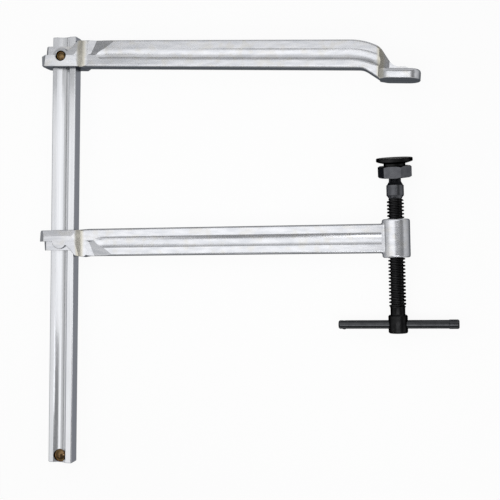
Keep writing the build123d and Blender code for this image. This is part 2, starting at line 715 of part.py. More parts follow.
def make_thrust_cup():
    """Hardened cup between the ball and the plate."""
    reach = BALL_D + 2 * CUP_WALL
    upper = Pos(0, 0, equator_gap + reach) * Box(2 * reach, 2 * reach, 2 * reach)
    return pad_place() * (spherical_shell() & upper)


def socket_ball():
    """Ball-shaped hollow that holds the cup and the ring."""
    return Sphere(shell_radius + CUP_GAP)


def make_swivel_nut():
    """Hexagonal union nut: threaded on the plate's hub, with a spherical lip behind the ring."""
    corner = NUT_ACROSS_FLATS / sqrt(3)
    edge = corner - NUT_CHAMFER
    drop = NUT_CHAMFER * tan(radians(30))
    hexagon = RegularPolygon(NUT_ACROSS_FLATS / 2, 6, major_radius=False, rotation=NUT_TURN)
    prism = extrude(hexagon, amount=NUT_HALF_HEIGHT, both=True)
    envelope = turned(
        (0, -NUT_HALF_HEIGHT),
        (edge, -NUT_HALF_HEIGHT),
        (corner, -NUT_HALF_HEIGHT + drop),
        (corner, NUT_HALF_HEIGHT - drop),
        (edge, NUT_HALF_HEIGHT),
        (0, NUT_HALF_HEIGHT),
    )
    thread_depth = NUT_HALF_HEIGHT + HUB_SEAT_H
    thread = Pos(0, 0, NUT_HALF_HEIGHT) * Cylinder(HUB_THREAD_D / 2 + HUB_GAP, 2 * thread_depth)
    return pad_place() * ((prism & envelope) - thread - socket_ball())


def make_pressure_plate():
    """Round plate with its hub, which screws into the nut and holds the cup."""
    plate = PLATE_D / 2
    hub = HUB_THREAD_D / 2
    neck = HUB_NECK_D / 2
    top = PLATE_UNDER_H + PLATE_THICKNESS
    body = turned(
        (0, 0),
        (hub, 0),
        (hub, NUT_HALF_HEIGHT - HUB_RELIEF),
        (neck, NUT_HALF_HEIGHT),
        (neck, PLATE_UNDER_H - PLATE_CONE),
        (plate - PLATE_CONE, PLATE_UNDER_H),
        (plate, PLATE_UNDER_H + PLATE_CONE / 2),
        (plate, top),
        (0, top),
    )
    rim = body.edges().group_by(Axis.Z)[-1]
    body = fillet(rim, PLATE_RIM_ROUND)
    return pad_place() * (body - socket_ball())


def clamp_pieces():
    """Every piece of the clamp by its name, in the clamp's own frame."""
    left, right = make_retaining_halves()
    return {
        "rail": make_rail(),
        "rail_stop_pin": make_stop_pin(),
        "fixed_arm": make_fixed_arm(),
        "fixed_arm_pin": make_fixed_pin(),
        "sliding_arm": make_sliding_arm(),
        "spindle": make_spindle(),
        "tommy_bar": make_tommy_bar(),
        "retaining_half_left": left,
        "retaining_half_right": right,
        "thrust_cup": make_thrust_cup(),
        "swivel_nut": make_swivel_nut(),
        "pressure_plate": make_pressure_plate(),
    }


def row_origin(pieces):
    """Centre of the bottom of the box round all pieces."""
    boxes = [piece.bounding_box() for piece in pieces]
    low = [min(getattr(box.min, axis) for box in boxes) for axis in "XYZ"]
    high = [max(getattr(box.max, axis) for box in boxes) for axis in "XYZ"]
    return (low[0] + high[0]) / 2, (low[1] + high[1]) / 2, low[2]


def main():
    """Build the pieces, set them on the row's origin and write one STEP file for each."""
    pieces = clamp_pieces()
    x, y, z = row_origin(pieces.values())
    print(f"origin in the clamp's own frame: {x:.4f} {y:.4f} {z:.4f}")
    os.makedirs("parts", exist_ok=True)
    for name, piece in pieces.items():
        export_step(Pos(-x, -y, -z) * piece, f"parts/{name}.step")


if __name__ == "__main__":
    main()
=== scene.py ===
"""Looks of a deep F-clamp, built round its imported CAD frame.

Every length in a dataclass field is in millimetres and every angle in degrees. Every mesh is
made in metres in the frame's own axes: +X out along the arms, +Y up the rail, +Z up from the floor.
"""

import json
import logging
import math
from dataclasses import dataclass
from enum import Enum

import bmesh
import bpy
import numpy as np
from mathutils import Matrix, Vector

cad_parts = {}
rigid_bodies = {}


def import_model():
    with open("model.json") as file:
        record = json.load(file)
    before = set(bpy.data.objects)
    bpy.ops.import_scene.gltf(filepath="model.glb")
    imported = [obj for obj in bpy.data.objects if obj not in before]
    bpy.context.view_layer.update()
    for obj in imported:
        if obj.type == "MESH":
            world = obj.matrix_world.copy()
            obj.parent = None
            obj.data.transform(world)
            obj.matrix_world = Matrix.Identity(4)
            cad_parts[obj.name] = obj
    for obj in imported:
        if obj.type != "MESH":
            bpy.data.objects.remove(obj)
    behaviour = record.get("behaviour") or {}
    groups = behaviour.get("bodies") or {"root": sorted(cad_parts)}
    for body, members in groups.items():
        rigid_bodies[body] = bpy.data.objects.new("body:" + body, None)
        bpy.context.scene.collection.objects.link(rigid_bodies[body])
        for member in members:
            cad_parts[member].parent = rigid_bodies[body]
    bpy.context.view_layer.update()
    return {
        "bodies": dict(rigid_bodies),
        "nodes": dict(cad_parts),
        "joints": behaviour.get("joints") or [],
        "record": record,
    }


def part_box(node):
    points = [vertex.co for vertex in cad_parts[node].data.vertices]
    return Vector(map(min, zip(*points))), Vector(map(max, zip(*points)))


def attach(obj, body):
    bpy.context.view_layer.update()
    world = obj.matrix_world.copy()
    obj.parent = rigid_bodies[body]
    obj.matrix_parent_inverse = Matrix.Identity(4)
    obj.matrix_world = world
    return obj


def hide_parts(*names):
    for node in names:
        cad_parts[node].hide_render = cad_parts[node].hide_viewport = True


MM = 0.001

# Most of a noise pattern's values lie between these two.
NOISE_SPAN = (0.3, 0.7)

# A band starts at the first share of its half width and is full from the second inwards.
BAND_FADE = (1.4, 0.6)

# Points nearer than this are one, and edges shorter than this are taken out.
MERGE_MM = 0.001
SLIVER_MM = 0.0001

log = logging.getLogger("clamp")


class Axis(Enum):
    """Axis of the frame, by its place in a vector."""

    X = 0
    Y = 1
    Z = 2


def linear(colour: str) -> tuple[float, float, float, float]:
    """Turn an sRGB hex colour into linear RGBA.

    Args:
        colour: Six hex digits, with or without a leading hash.

    Returns:
        Linear red, green, blue and an alpha of one.
    """
    digits = colour.lstrip("#")
    parts = [int(digits[i : i + 2], 16) / 255 for i in (0, 2, 4)]
    red, green, blue = (p / 12.92 if p <= 0.04045 else ((p + 0.055) / 1.055) ** 2.4 for p in parts)
    return red, green, blue, 1.0


def add_node(
    tree: bpy.types.NodeTree,
    kind: str,
    inputs: dict[str | int, object] | None = None,
    **settings: object,
) -> bpy.types.Node:
    """Add one shader node with its settings, constants and links.

    Args:
        tree: Node tree that gets the node.
        kind: Blender's name of the node type.
        inputs: Socket name or index to a constant, or to the output socket that feeds it.
        **settings: Properties of the node itself.

    Returns:
        The new node.
    """
    node = tree.nodes.new(kind)
    for name, value in settings.items():
        setattr(node, name, value)
    for socket, value in (inputs or {}).items():
        if isinstance(value, bpy.types.NodeSocket):
            tree.links.new(value, node.inputs[socket])
        else:
            node.inputs[socket].default_value = value
    return node


def new_material(name: str) -> tuple[bpy.types.Material, bpy.types.NodeTree, bpy.types.Node]:
    """Make an empty node material with one Principled shader on its output.

    Args:
        name: The real finish's name.

    Returns:
        The material, its node tree and its Principled node.
    """
    material = bpy.data.materials.new(name)
    material.use_nodes = True
    tree = material.node_tree
    tree.nodes.clear()
    shader = add_node(tree, "ShaderNodeBsdfPrincipled")
    add_node(tree, "ShaderNodeOutputMaterial", {"Surface": shader.outputs["BSDF"]})
    return material, tree, shader


def grain(
    tree: bpy.types.NodeTree,
    size_mm: tuple[float, float, float],
    detail: float = 3.0,
    seed: float = 0.0,
) -> bpy.types.NodeSocket:
    """Add a noise pattern whose lumps have a real size along each axis.

    Args:
        tree: Node tree that gets the pattern.
        size_mm: Length of one lump along X, Y and Z, in millimetres.
        detail: How many finer octaves lie on it.
        seed: Shift of the pattern, so that two patterns differ.

    Returns:
        The pattern's factor socket.
    """
    place = add_node(tree, "ShaderNodeTexCoord")
    spread = add_node(
        tree,
        "ShaderNodeMapping",
        {
            "Vector": place.outputs["Object"],
            "Scale": tuple(1 / (size * MM) for size in size_mm),
            "Location": (seed, seed, seed),
        },
    )
    noise = add_node(
        tree,
        "ShaderNodeTexNoise",
        {"Vector": spread.outputs["Vector"], "Scale": 1.0, "Detail": detail},
    )
    return noise.outputs["Fac"]


def upwardness(tree: bpy.types.NodeTree) -> bpy.types.NodeSocket:
    """Add a pattern that is zero on upright flanks and one on what faces up or down.

    It is the size of the normal's Z in the piece's own axes, and stays with the piece.
    It is the mask of the painted shade that darkens the upright flanks.

    Args:
        tree: Node tree that gets the pattern.

    Returns:
        The pattern's socket.
    """
    place = add_node(tree, "ShaderNodeTexCoord")
    parts = add_node(tree, "ShaderNodeSeparateXYZ", {"Vector": place.outputs["Normal"]})
    up = add_node(tree, "ShaderNodeMath", {0: parts.outputs[Axis.Z.name]}, operation="ABSOLUTE")
    return up.outputs[0]


def distance(tree: bpy.types.NodeTree, axis: Axis, middle: float) -> bpy.types.NodeSocket:
    """Add a pattern that is the distance in metres from a plane square to one of the piece's axes.

    Args:
        tree: Node tree that gets the pattern.
        axis: The axis.
        middle: Where the plane crosses it, in millimetres.

    Returns:
        The pattern's socket.
    """
    place = add_node(tree, "ShaderNodeTexCoord")
    parts = add_node(tree, "ShaderNodeSeparateXYZ", {"Vector": place.outputs["Object"]})
    offset = add_node(
        tree,
        "ShaderNodeMath",
        {0: parts.outputs[axis.name], 1: middle * MM},
        operation="SUBTRACT",
    )
    away = add_node(tree, "ShaderNodeMath", {0: offset.outputs[0]}, operation="ABSOLUTE")
    return away.outputs[0]


def two_tone(
    tree: bpy.types.NodeTree,
    pattern: bpy.types.NodeSocket,
    span: tuple[float, float],
    first: bpy.types.NodeSocket | str,
    second: str,
    share: float = 1.0,
) -> bpy.types.NodeSocket:
    """Mix two colours by a pattern, in proportion over its span and evenly on either side of it.

    Args:
        tree: Node tree to add to.
        pattern: Pattern that chooses the colour.
        span: Values of the pattern at which the mix starts and at which it is full.
        first: Hex colour, or a colour socket, where the mix starts.
        second: Hex colour where it is full.
        share: How much of the second colour the full mix holds.

    Returns:
        The mixed colour's socket.
    """
    start, full = span
    factor = add_node(
        tree,
        "ShaderNodeMapRange",
        {"Value": pattern, "From Min": start, "From Max": full, "To Min": 0.0, "To Max": share},
    )
    mixed = add_node(
        tree,
        "ShaderNodeMix",
        {
            "Factor": factor.outputs["Result"],
            "A": linear(first) if isinstance(first, str) else first,
            "B": linear(second),
        },
        data_type="RGBA",
    )
    return mixed.outputs["Result"]


def band(
    tree: bpy.types.NodeTree,
    axis: Axis,
    place: tuple[float, float],
    first: bpy.types.NodeSocket,
    second: str,
) -> bpy.types.NodeSocket:
    """Colour a band across one of the piece's axes, faded out at its borders.

    Args:
        tree: Node tree to add to.
        axis: The axis.
        place: Where the band's middle is on it, and half its width, in millimetres.
        first: Colour socket outside the band.
        second: Hex colour in it.

    Returns:
        The mixed colour's socket.
    """
    middle, half = place
    start, full = (half * share * MM for share in BAND_FADE)
    return two_tone(tree, distance(tree, axis, middle), (start, full), first, second)


def finish_metal(
    tree: bpy.types.NodeTree,
    shader: bpy.types.Node,
    colour: bpy.types.NodeSocket,
    edge: str,
    wear: bpy.types.NodeSocket,
    roughness: tuple[float, float],
) -> None:
    """Make a Principled shader a metal that dulls towards grazing, with an uneven roughness.

    Args:
        tree: The shader's node tree.
        shader: Principled node.
        colour: Colour socket.
        edge: Hex tint of the reflection near grazing, as an oxidised or plated skin gives it.
        wear: Noise pattern that the roughness follows.
        roughness: Roughness at the start of the noise's span and at its end.
    """
    start, full = NOISE_SPAN
    low, high = roughness
    rough = add_node(
        tree,
        "ShaderNodeMapRange",
        {"Value": wear, "From Min": start, "From Max": full, "To Min": low, "To Max": high},
    )
    tree.links.new(rough.outputs["Result"], shader.inputs["Roughness"])
    tree.links.new(colour, shader.inputs["Base Color"])
    shader.inputs["Metallic"].default_value = 1.0
    shader.inputs["Specular Tint"].default_value = linear(edge)


@dataclass(frozen=True)
class Relief:
    """How strongly a pattern's relief is drawn, and how deep it is."""

    strength: float
    depth: float

    def carve(
        self,
        tree: bpy.types.NodeTree,
        shader: bpy.types.Node,
        height: bpy.types.NodeSocket,
        under: bpy.types.NodeSocket | None = None,
    ) -> bpy.types.NodeSocket:
        """Give a shader the relief of a pattern.

        Args:
            tree: The shader's node tree.
            shader: Principled node.
            height: Pattern that is the relief's height.
            under: Normal socket of a broader relief that this one lies on.

        Returns:
            The relief's normal socket.
        """
        inputs = {"Height": height, "Strength": self.strength, "Distance": self.depth * MM}
        if under is not None:
            inputs["Normal"] = under
        bump = add_node(tree, "ShaderNodeBump", inputs)
        tree.links.new(bump.outputs["Normal"], shader.inputs["Normal"])
        return bump.outputs["Normal"]


@dataclass(frozen=True)
class DrawnZincFinish:
    """Cold-drawn steel, bright zinc plated: satin, with fine lines along the drawing direction.

    A real drawing line is a few tenths of a millimetre wide, too fine to show, so it is wider here.
    Its upright flanks are darkened by painted shade.
    """

    line_width: float
    line_length: float
    name: str = "drawn_steel_bright_zinc"
    light: str = "#DADBDE"
    dark: str = "#D0D2D6"
    line_span: tuple[float, float] = (0.35, 0.65)
    # Painted shade: the darker tone of the upright flanks, and the span of the normal's Z over
    # which it comes in.
    flank_shade: str = "#92949A"
    flank_shade_span: tuple[float, float] = (0.95, 0.45)
    edge: str = "#808285"
    patch: tuple[float, float, float] = (14.0, 56.0, 14.0)
    roughness: tuple[float, float] = (0.18, 0.26)
    lines: Relief = Relief(0.1, 0.02)

    def build(self) -> bpy.types.Material:
        """Make the material, with painted shade on its upright flanks.

        Returns:
            The material.
        """
        material, tree, shader = new_material(self.name)
        lines = grain(tree, (self.line_width, self.line_length, self.line_width), detail=2.0)
        patches = grain(tree, self.patch, seed=3.1)
        tone = two_tone(tree, lines, self.line_span, self.light, self.dark)
        # Painted shade: the upright flanks are darkened.
        tone = two_tone(tree, upwardness(tree), self.flank_shade_span, tone, self.flank_shade)
        finish_metal(tree, shader, tone, self.edge, patches, self.roughness)
        self.lines.carve(tree, shader, lines)
        return material


@dataclass(frozen=True)
class ForgedZincFinish:
    """Drop-forged steel, blasted and bright zinc plated: softly uneven, with a fine grain.

    The blasting's real grain is about 0.3 mm, too fine to show, so it is drawn coarser.
    Its tan bands are a painted reflection, and its darker upright flanks are painted shade.
    """

    name: str
    # Painted reflection: where the tan tint lies, as middle and half width along X.
    tan_reflection_bands: tuple[tuple[float, float], ...]
    parting: tuple[float, float]
    light: str = "#DCDDE1"
    dark: str = "#CBCDD2"
    warm: str = "#CFCCC4"
    warm_span: tuple[float, float] = (0.5, 0.7)
    warm_share: float = 0.4
    # Painted reflection: the tan tint laid on the bands along X.
    tan: str = "#C9C5B9"
    # Painted shade: the darker tone of the upright flanks, and the span of the normal's Z over
    # which it comes in.
    flank_shade: str = "#7E8084"
    flank_shade_span: tuple[float, float] = (0.95, 0.3)
    flash: str = "#6C6E72"
    edge: str = "#85878A"
    blast: float = 1.5
    unevenness: tuple[float, float, float] = (18.0, 4.0, 4.0)
    stain: float = 9.0
    roughness: tuple[float, float] = (0.24, 0.32)
    swell: Relief = Relief(0.25, 0.1)
    blasting: Relief = Relief(0.1, 0.05)

    def build(self) -> bpy.types.Material:
        """Make the material, with a painted reflection, a tan tint, on its bands, painted shade on
        its upright flanks, and a dull line where the flash was.

        Returns:
            The material.
        """
        material, tree, shader = new_material(self.name)
        fine = grain(tree, (self.blast,) * 3, detail=4.0)
        broad = grain(tree, self.unevenness, detail=1.0, seed=7.7)
        stain = grain(tree, (self.stain,) * 3, detail=1.0, seed=4.3)
        tone = two_tone(tree, broad, NOISE_SPAN, self.light, self.dark)
        tone = two_tone(tree, stain, self.warm_span, tone, self.warm, self.warm_share)
        # Painted reflection: a tan tint on each band.
        for place in self.tan_reflection_bands:
            tone = band(tree, Axis.X, place, tone, self.tan)
        # Painted shade: the upright flanks are darkened.
        tone = two_tone(tree, upwardness(tree), self.flank_shade_span, tone, self.flank_shade)
        tone = band(tree, Axis.Z, self.parting, tone, self.flash)
        finish_metal(tree, shader, tone, self.edge, fine, self.roughness)
        swell = self.swell.carve(tree, shader, broad)
        self.blasting.carve(tree, shader, fine, under=swell)
        return material


@dataclass(frozen=True)
class YellowZincFinish:
    """Cold-headed steel, zinc plated, yellow passivated: glossy, clouded from straw to brown."""

    name: str = "pin_steel_yellow_zinc"
    light: str = "#7E6847"
    dark: str = "#503E28"
    rose: str = "#664E40"
    rose_span: tuple[float, float] = (0.4, 0.7)
    rose_share: float = 0.6
    edge: str = "#0A0806"
    cloud: float = 4.0
    rose_cloud: float = 8.0
    roughness: tuple[float, float] = (0.08, 0.14)

    def build(self) -> bpy.types.Material:
        """Make the material.

        Returns:
            The material.
        """
        material, tree, shader = new_material(self.name)
        clouds = grain(tree, (self.cloud,) * 3)
        tint = grain(tree, (self.rose_cloud,) * 3, seed=5.3)
        tone = two_tone(tree, clouds, NOISE_SPAN, self.light, self.dark)
        tone = two_tone(tree, tint, self.rose_span, tone, self.rose, self.rose_share)
        finish_metal(tree, shader, tone, self.edge, clouds, self.roughness)
        return material


@dataclass(frozen=True)
class BlackOxideFinish:
    """Turned steel, hot black oxide and oil: near black, with soft metallic highlights.

    Real turning marks are about 0.1 mm apart, too fine to show, so they are drawn further apart.
    """

    name: str
    light: str
    dark: str
    roughness: tuple[float, float]
    stacked: Axis = Axis.Y
    edge: str = "#080808"
    cloud: float = 6.0
    turning: float = 0.5
    turning_length: float = 12.0
    turned: Relief = Relief(0.15, 0.02)

    def build(self) -> bpy.types.Material:
        """Make the material, with its turning marks stacked along one axis.

        Returns:
            The material.
        """
        material, tree, shader = new_material(self.name)
        clouds = grain(tree, (self.cloud,) * 3)
        size = [self.turning_length] * 3
        size[self.stacked.value] = self.turning
        rings = grain(tree, tuple(size), detail=1.0, seed=2.9)
        tone = two_tone(tree, clouds, NOISE_SPAN, self.light, self.dark)
        finish_metal(tree, shader, tone, self.edge, clouds, self.roughness)
        self.turned.carve(tree, shader, rings)
        return material


DARK_BLACK = BlackOxideFinish("turned_steel_black_oxide", "#282829", "#1E1E1F", (0.28, 0.38))
SMOOTH_BLACK = BlackOxideFinish("pad_steel_black_oxide", "#5B5C60", "#505155", (0.24, 0.32))


def dress(frame: dict, material: bpy.types.Material, *nodes: str) -> None:
    """Give CAD nodes a finish.

    Args:
        material: Finish to give.
        *nodes: Names of the CAD nodes.
    """
    for name in nodes:
        mesh = frame["nodes"][name].data
        mesh.materials.clear()
        mesh.materials.append(material)
        log.info("%s: %s", name, material.name)


def grid_faces(rows: int, columns: int) -> np.ndarray:
    """Faces of an open grid: vertex (r, c) is number r * columns + c, and faces join neighbours.

    Args:
        rows: Rows of vertices.
        columns: Vertices in each row.

    Returns:
        One row of four vertex numbers for each face.
    """
    corner = np.arange((rows - 1) * columns).reshape(rows - 1, columns)[:, :-1].ravel()
    return np.stack([corner, corner + 1, corner + columns + 1, corner + columns], axis=1)


def closed_piece(name: str, points: np.ndarray, faces: np.ndarray) -> bpy.types.Object:
    """Make a closed mesh object from points and faces, with its doubled points merged.

    Args:
        name: Piece's name.
        points: One row of x, y, z in metres for each vertex.
        faces: Vertex numbers of each face.

    Returns:
        The linked object.
    """
    mesh = bpy.data.meshes.new(name)
    mesh.from_pydata(points.tolist(), [], faces.tolist())
    work = bmesh.new()
    work.from_mesh(mesh)
    bmesh.ops.remove_doubles(work, verts=work.verts, dist=MERGE_MM * MM)
    bmesh.ops.dissolve_degenerate(work, edges=work.edges, dist=SLIVER_MM * MM)
    bmesh.ops.recalc_face_normals(work, faces=work.faces)
    work.to_mesh(mesh)
    work.free()
    piece = bpy.data.objects.new(name, mesh)
    bpy.context.scene.collection.objects.link(piece)
    return piece


@dataclass(frozen=True)
class Rail:
    """Drawn rail with its groove on both faces, and the stop pin near its foot."""

    line_width: float = 0.9
    line_length: float = 160.0

    def dress(self, frame: dict, yellow: bpy.types.Material) -> None:
        """Give the rail its drawn finish.

        Args:
            yellow: Finish of the stop pin.
        """
        dress(frame, DrawnZincFinish(self.line_width, self.line_length).build(), "rail")
        dress(frame, yellow, "rail_stop_pin")


@dataclass(frozen=True)
class FixedArm:
    """Forged upper arm with its head, gooseneck and foot, and the pin that fixes it to the rail.

    The neck and the gooseneck are bands along X that carry a painted reflection, a tan tint, and
    the parting line is one along Z, each given by its middle and half its width.
    """

    neck: tuple[float, float] = (-203.0, 4.0)
    gooseneck: tuple[float, float] = (168.0, 4.0)
    parting: tuple[float, float] = (18.9, 0.8)

    def dress(self, frame: dict, yellow: bpy.types.Material) -> None:
        """Give the arm its forged finish, with a painted reflection, a tan tint, at its neck and
        gooseneck.

        Args:
            yellow: Finish of the pin.
        """
        # Painted reflection: tan tint bands at the neck and the gooseneck.
        tan_reflection_places = (self.neck, self.gooseneck)
        forged = ForgedZincFinish("fixed_arm_bright_zinc", tan_reflection_places, self.parting)
        dress(frame, forged.build(), "fixed_arm")
        dress(frame, yellow, "fixed_arm_pin")


@dataclass(frozen=True)
class SlidingArm:
    """Forged lower arm with its head on the rail and its threaded boss.

    The neck is a band along X that carries a painted reflection, a tan tint, and the parting line
    is one along Z, each given by its middle and half its width.
    """

    neck: tuple[float, float] = (-203.0, 4.0)
    parting: tuple[float, float] = (18.9, 0.8)

    def dress(self, frame: dict) -> None:
        """Give the arm its forged finish, with a painted reflection, a tan tint, at its neck.
        """
        # Painted reflection: a tan tint band at the neck.
        forged = ForgedZincFinish("sliding_arm_bright_zinc", (self.neck,), self.parting)
        dress(frame, forged.build(), "sliding_arm")


@dataclass(frozen=True)
class TommyBar:
    """Sliding T-bar with a swaged and staked end, smoother than the spindle."""

    light: str = "#434446"
    dark: str = "#393A3C"
    roughness: tuple[float, float] = (0.10, 0.16)

    def dress(self, frame: dict) -> None:
        """Give the bar its black, so smooth that it carries one narrow highlight.
        """
        black = BlackOxideFinish(
            "bar_steel_black_oxide", self.light, self.dark, self.roughness, Axis.X
        )
        dress(frame, black.build(), "tommy_bar")


@dataclass(frozen=True)
class SwivelPad:
    """Pressure plate, its thrust cup, and the hexagon nut and split ring that hold them on."""

    dark_nodes: tuple[str, ...] = ("pressure_plate", "thrust_cup")
    smooth_nodes: tuple[str, ...] = ("swivel_nut", "retaining_half_left", "retaining_half_right")

    def dress(self, frame: dict, dark: bpy.types.Material, smooth: bpy.types.Material) -> None:
        """Give the plate and the cup the spindle's dark finish, and the rest the smoother one.

        Args:
            dark: Finish of the plate and the cup.
            smooth: Finish of the nut and the ring.
        """
        dress(frame, dark, *self.dark_nodes)
        dress(frame, smooth, *self.smooth_nodes)


@dataclass(frozen=True)
class Spindle:
    """Threaded spindle: its CAD cylinder is replaced by the same turned shape with a real thread.

    Sizes are diameters, and a name that ends in _w is a height along the spindle towards the work.
    The thread's profile is its depth, as a share of the full one, at shares of the pitch.
    """

    ball: float = 18.0
    ball_w: float = 77.3
    ball_rings: int = 22
    neck: float = 14.0
    neck_end_w: float = 65.8
    collar: float = 20.0
    collar_top_w: float = 61.2
    collar_foot_w: float = 48.6
    collar_chamfer: float = 1.0
    crest: float = 19.5
    root: float = 15.0
    thread_top_w: float = 46.0
    thread_foot_w: float = -80.6
    pitch: float = 4.0
    profile_share: tuple[float, ...] = (0.0, 0.33, 0.365, 0.485, 0.52, 0.83, 0.865, 0.985)
    profile_depth: tuple[float, ...] = (0.0, 0.0, 0.08, 0.92, 1.0, 1.0, 0.92, 0.08)
    spare_turns: int = 3
    shank: float = 17.0
    head: float = 22.3
    head_top_w: float = -88.5
    head_foot_w: float = -109.8
    head_chamfer: float = 1.4
    head_round: float = 2.0
    round_rings: int = 7
    hole: float = 10.16
    hole_w: float = -99.6
    hole_columns: int = 65
    columns: int = 96
    finish_margin: float = 0.1
    crease: float = 32.0

    def place(self, joints: list[dict]) -> Matrix:
        """Frame of the spindle: its z runs along it towards the work and its x along the T-bar.

        Args:
            joints: The record's joints, whose axes say where the spindle lies.

        Returns:
            Matrix from the spindle's own axes to the frame's.
        """
        found = {joint["name"]: joint for joint in joints}
        z = Vector(found["spindle_turn"]["axis"]).normalized()
        x = Vector(found["bar_slide"]["axis"]).normalized()
        y = z.cross(x)
        turn = Matrix((x, y, z)).transposed().to_4x4()
        return Matrix.Translation(Vector(found["spindle_turn"]["pos_m"])) @ turn

    def below_thread(self) -> np.ndarray:
        """Rings from the foot's centre up to the thread, as rows of radius and height.

        The foot's edge is a quarter circle: r = head - round (1 - sin a) and
        w = foot + round (1 - cos a), for a from 0 to a right angle.

        Returns:
            One row for each ring.
        """
        head = self.head / 2
        bend = np.linspace(0, math.pi / 2, self.round_rings)
        rounded = np.stack(
            [
                head - self.head_round * (1 - np.sin(bend)),
                self.head_foot_w + self.head_round * (1 - np.cos(bend)),
            ],
            axis=1,
        )
        rings = [
            (0.0, self.head_foot_w),
            *rounded.tolist(),
            (head, self.head_top_w - self.head_chamfer),
            (head - self.head_chamfer, self.head_top_w),
            (self.shank / 2, self.head_top_w),
        ]
        return np.array(rings)

    def above_thread(self) -> np.ndarray:
        """Rings from the thread up over the collar, the neck and the ball to its pole.

        The ball is r = R sin a and w = middle + R cos a, from where it meets the neck to a = 0.

        Returns:
            One row of radius and height for each ring.
        """
        collar = self.collar / 2
        neck = self.neck / 2
        radius = self.ball / 2
        start = math.asin(neck / radius)
        turn = np.linspace(math.pi - start, 0, self.ball_rings)
        ball = np.stack([radius * np.sin(turn), self.ball_w + radius * np.cos(turn)], axis=1)
        ball[-1, 0] = 0.0
        rings = [
            (collar - self.collar_chamfer, self.collar_foot_w),
            (collar, self.collar_foot_w + self.collar_chamfer),
            (collar, self.collar_top_w),
            (collar - self.collar_chamfer, self.collar_top_w + self.collar_chamfer),
            (neck, self.neck_end_w),
            *ball.tolist(),
        ]
        return np.array(rings)

    def thread(self) -> tuple[np.ndarray, np.ndarray]:
        """Radius and height of the helical rows.

        A row starts at angle zero at height h and rises one pitch in a full turn. Its depth is that
        of a trapezoidal thread with softened corners, cut down by a cone at the top, a shorter cone
        at the foot, and a run-out one pitch long where the thread meets the plain shank. Rows past
        either end are pressed flat onto it.

        Returns:
            Radii and heights, each with a row for each helical line and a column for each angle.
        """
        share = np.array(self.profile_share)
        turns = int((self.thread_top_w - self.thread_foot_w) / self.pitch) + self.spare_turns
        start = (np.arange(turns)[:, None] + share[None, :]).ravel() * self.pitch
        depths = np.tile(self.profile_depth, turns)
        rise = np.linspace(0, self.pitch, self.columns + 1)
        height = self.thread_foot_w - self.pitch + start[:, None] + rise[None, :]
        height = np.clip(height, self.thread_foot_w, self.thread_top_w)
        crest, root, shank = self.crest / 2, self.root / 2, self.shank / 2
        run_out = np.clip((height - self.thread_foot_w) / self.pitch, 0, 1)
        radius = crest - (crest - root) * depths[:, None] * run_out
        top_cone = root + (self.thread_top_w - height)
        foot_cone = shank + (height - self.thread_foot_w) * (crest - shank) / (crest - root)
        return np.minimum(radius, np.minimum(top_cone, foot_cone)), height

    def turned_points(self) -> tuple[np.ndarray, int]:
        """Points of the whole turned shape: x = r cos a, y = r sin a, z = height, row after row.

        Returns:
            The points in millimetres, and how many rows they form.
        """
        radius, height = self.thread()
        ones = np.ones((1, self.columns + 1))
        below, above = self.below_thread(), self.above_thread()
        radius = np.concatenate([below[:, :1] * ones, radius, above[:, :1] * ones])
        height = np.concatenate([below[:, 1:] * ones, height, above[:, 1:] * ones])
        angle = np.linspace(0, 2 * math.pi, self.columns + 1)[None, :]
        points = np.stack([radius * np.cos(angle), radius * np.sin(angle), height], axis=-1)
        return points.reshape(-1, 3), radius.shape[0]

    def cross_hole(self) -> bpy.types.Object:
        """Make the cutter for the T-bar's hole: a closed round bar along the spindle's x.

        Its points are x = reach, y = r cos a and z = middle + r sin a, in four rows.

        Returns:
            The cutter.
        """
        angle = np.linspace(0, 2 * math.pi, self.hole_columns)
        radius = np.array([0.0, self.hole / 2, self.hole / 2, 0.0])[:, None]
        reach = np.array([-1.0, -1.0, 1.0, 1.0])[:, None] * self.head
        along = reach * np.ones_like(angle)[None, :]
        across, up = radius * np.cos(angle), self.hole_w + radius * np.sin(angle)
        points = np.stack([along, across, up], axis=-1).reshape(-1, 3)
        return closed_piece("hole_cutter", points * MM, grid_faces(len(reach), angle.size))

    def build(
        self, frame: dict, dark: bpy.types.Material, smooth: bpy.types.Material
    ) -> bpy.types.Object:
        """Make the threaded spindle in place of its CAD node.

        Args:
            dark: Finish of the head, the shank and the thread.
            smooth: Finish of the finer turned collar, neck and ball.

        Returns:
            The finished piece.
        """
        points, rows = self.turned_points()
        piece = closed_piece("threaded_spindle", points * MM, grid_faces(rows, self.columns + 1))
        cutter = self.cross_hole()
        cut = piece.modifiers.new("cross_hole", "BOOLEAN")
        cut.operation = "DIFFERENCE"
        cut.solver = "EXACT"
        cut.object = cutter
        graph = bpy.context.evaluated_depsgraph_get()
        mesh = bpy.data.meshes.new_from_object(piece.evaluated_get(graph))
        piece.modifiers.clear()
        piece.data = mesh
        bpy.data.objects.remove(cutter)
        mesh.materials.clear()
        mesh.materials.append(dark)
        mesh.materials.append(smooth)
        border = (self.thread_top_w + self.finish_margin) * MM
        for face in mesh.polygons:
            face.material_index = int(face.center.z > border)
        mesh.transform(self.place(frame["joints"]))
        mesh.shade_smooth()
        mesh.set_sharp_from_angle(angle=math.radians(self.crease))
        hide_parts("spindle")
        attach(piece, "spindle")
        log.info("threaded_spindle: %d faces", len(mesh.polygons))
        return piece


